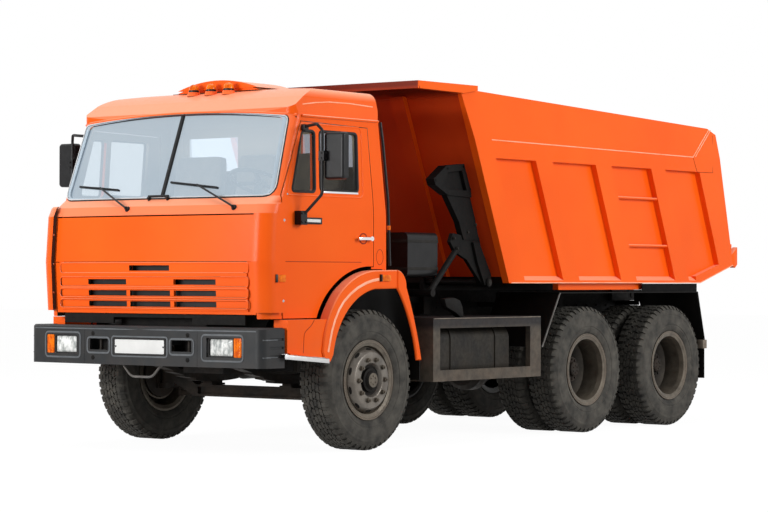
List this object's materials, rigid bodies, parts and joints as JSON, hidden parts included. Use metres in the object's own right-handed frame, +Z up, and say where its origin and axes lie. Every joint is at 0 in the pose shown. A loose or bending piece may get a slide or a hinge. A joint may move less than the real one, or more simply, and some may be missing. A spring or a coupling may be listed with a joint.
{
  "type": "three-axle dump truck",
  "caption": "Cab-over dump truck with a tilting ribbed body, hinged tailgate, telescopic hoist, steered front wheels, twin-wheel rear bogie, tilting cab, opening doors and nose panel.",
  "frame": {"origin": "on the road, under the middle of the overall box", "axes": "+Z up, the nose points along -Y, +X is the vehicle's left"},
  "size_m": [2.864, 6.572, 2.778],
  "materials": {
    "cab_paint": "gloss",
    "body_paint": "satin",
    "frame_paint": "satin",
    "bumper_paint": "matte",
    "black_plastic": "matte",
    "lamp_lens": "gloss",
    "window_glass": "gloss",
    "tyre_rubber": "matte",
    "rim_paint": "satin",
    "axle_iron": "matte",
    "engine_iron": "matte",
    "ram_steel": "satin",
    "trim_plastic": "matte",
    "seat_fabric": "matte",
    "tank_paint": "satin"
  },
  "bodies": {
    "root": {"frame_rails": "frame_paint", "subframe": "frame_paint", "front_bumper": "bumper_paint", "lamps": "lamp_lens", "front_axle": "axle_iron", "drive_axles": "axle_iron", "leaf_springs": "axle_iron", "powertrain": "engine_iron", "radiator": "engine_iron", "tanks": "tank_paint", "side_guards": "frame_paint", "mudguards": "frame_paint", "rear_fenders": "black_plastic", "spare_carrier": "frame_paint", "air_cleaner": "black_plastic"},
    "cab": {"cab_floor": "frame_paint", "cab_front": "cab_paint", "cab_sides": "cab_paint", "cab_rear": "cab_paint", "cab_roof": "cab_paint", "cab_glass": "window_glass", "dashboard": "trim_plastic", "steering_wheel": "black_plastic", "seats": "seat_fabric", "corner_panels": "cab_paint", "front_fenders": "cab_paint"},
    "nose": {"nose_panel": "cab_paint", "grille": "cab_paint"},
    "door_left": {"door_left": "cab_paint", "door_glass_left": "window_glass", "mirror_left": "black_plastic"},
    "door_right": {"door_right": "cab_paint", "door_glass_right": "window_glass", "mirror_right": "black_plastic"},
    "bed": {"bed_sides": "body_paint", "bed_front": "body_paint", "bed_floor": "body_paint", "bed_underframe": "body_paint"},
    "tailgate": {"tailgate": "body_paint"},
    "hoist_barrel": {"hoist_barrel": "frame_paint"},
    "hoist_stage_1": {"hoist_stage_1": "ram_steel"},
    "hoist_stage_2": {"hoist_stage_2": "ram_steel"},
    "hoist_rod": {"hoist_rod": "ram_steel"},
    "knuckle_left": {"knuckle_left": "axle_iron"},
    "knuckle_right": {"knuckle_right": "axle_iron"},
    "tie_rod": {"tie_rod": "axle_iron"},
    "wheel_front_left": {"tyre_front_left": "tyre_rubber", "rim_front_left": "rim_paint"},
    "wheels_mid_left": {"tyres_mid_left": "tyre_rubber", "rims_mid_left": "rim_paint"},
    "wheels_rear_left": {"tyres_rear_left": "tyre_rubber", "rims_rear_left": "rim_paint"},
    "wheel_front_right": {"tyre_front_right": "tyre_rubber", "rim_front_right": "rim_paint"},
    "wheels_mid_right": {"tyres_mid_right": "tyre_rubber", "rims_mid_right": "rim_paint"},
    "wheels_rear_right": {"tyres_rear_right": "tyre_rubber", "rims_rear_right": "rim_paint"}
  },
  "joints": [
    {"name": "spin_front_left", "type": "hinge", "parent": "knuckle_left", "child": "wheel_front_left", "pos_m": [1.021, -2.024, 0.522], "axis": [1, 0, 0], "continuous": true},
    {"name": "spin_mid_left", "type": "hinge", "parent": "root", "child": "wheels_mid_left", "pos_m": [0.94, 0.816, 0.522], "axis": [1, 0, 0], "continuous": true},
    {"name": "spin_rear_left", "type": "hinge", "parent": "root", "child": "wheels_rear_left", "pos_m": [0.94, 2.136, 0.522], "axis": [1, 0, 0], "continuous": true},
    {"name": "spin_front_right", "type": "hinge", "parent": "knuckle_right", "child": "wheel_front_right", "pos_m": [-1.021, -2.024, 0.522], "axis": [1, 0, 0], "continuous": true},
    {"name": "spin_mid_right", "type": "hinge", "parent": "root", "child": "wheels_mid_right", "pos_m": [-0.94, 0.816, 0.522], "axis": [1, 0, 0], "continuous": true},
    {"name": "spin_rear_right", "type": "hinge", "parent": "root", "child": "wheels_rear_right", "pos_m": [-0.94, 2.136, 0.522], "axis": [1, 0, 0], "continuous": true},
    {"name": "steer_left", "type": "hinge", "parent": "root", "child": "knuckle_left", "pos_m": [0.875, -2.024, 0.522], "axis": [0, 0, 1], "range_deg": [-35, 35]},
    {"name": "steer_right", "type": "hinge", "parent": "root", "child": "knuckle_right", "pos_m": [-0.875, -2.024, 0.522], "axis": [0, 0, 1], "range_deg": [-35, 35]},
    {"name": "tie_rod_swing", "type": "hinge", "parent": "knuckle_left", "child": "tie_rod", "pos_m": [0.875, -1.874, 0.39], "axis": [0, 0, 1], "range_deg": [-35, 35]},
    {"name": "cab_tilt", "type": "hinge", "parent": "root", "child": "cab", "pos_m": [0, -3.094, 0.99], "axis": [1, 0, 0], "range_deg": [0, 42]},
    {"name": "nose_lift", "type": "hinge", "parent": "cab", "child": "nose", "pos_m": [0, -3.164, 1.733], "axis": [-1, 0, 0], "range_deg": [0, 75]},
    {"name": "door_left_swing", "type": "hinge", "parent": "cab", "child": "door_left", "pos_m": [1.098, -2.954, 1.5], "axis": [0, 0, -1], "range_deg": [0, 70]},
    {"name": "door_right_swing", "type": "hinge", "parent": "cab", "child": "door_right", "pos_m": [-1.098, -2.954, 1.5], "axis": [0, 0, 1], "range_deg": [0, 70]},
    {"name": "bed_tilt", "type": "hinge", "parent": "root", "child": "bed", "pos_m": [0, 2.676, 1.13], "axis": [-1, 0, 0], "range_deg": [0, 55]},
    {"name": "gate_swing", "type": "hinge", "parent": "bed", "child": "tailgate", "pos_m": [0, 2.862, 2.55], "axis": [1, 0, 0], "range_deg": [0, 60]},
    {"name": "hoist_swing", "type": "hinge", "parent": "root", "child": "hoist_barrel", "pos_m": [0, 1.396, 0.715], "axis": [-1, 0, 0], "range_deg": [0, 29]},
    {"name": "hoist_slide_1", "type": "slide", "parent": "hoist_barrel", "child": "hoist_stage_1", "axis": [0, -0.158, 0.9874], "range_m": [0, 0.39087]},
    {"name": "hoist_slide_2", "type": "slide", "parent": "hoist_stage_1", "child": "hoist_stage_2", "axis": [0, -0.158, 0.9874], "range_m": [0, 0.39087]},
    {"name": "hoist_slide_3", "type": "slide", "parent": "hoist_stage_2", "child": "hoist_rod", "axis": [0, -0.158, 0.9874], "range_m": [0, 0.39087]}
  ],
  "couplings": [
    {"joint": "steer_right", "follows": "steer_left", "ratio": 1},
    {"joint": "tie_rod_swing", "follows": "steer_left", "ratio": -1},
    {"joint": "hoist_swing", "follows": "bed_tilt", "ratio": 0.52618},
    {"joint": "hoist_slide_1", "follows": "bed_tilt", "m_per_rad": 0.40666},
    {"joint": "hoist_slide_2", "follows": "bed_tilt", "m_per_rad": 0.40666},
    {"joint": "hoist_slide_3", "follows": "bed_tilt", "m_per_rad": 0.40666}
  ]
}
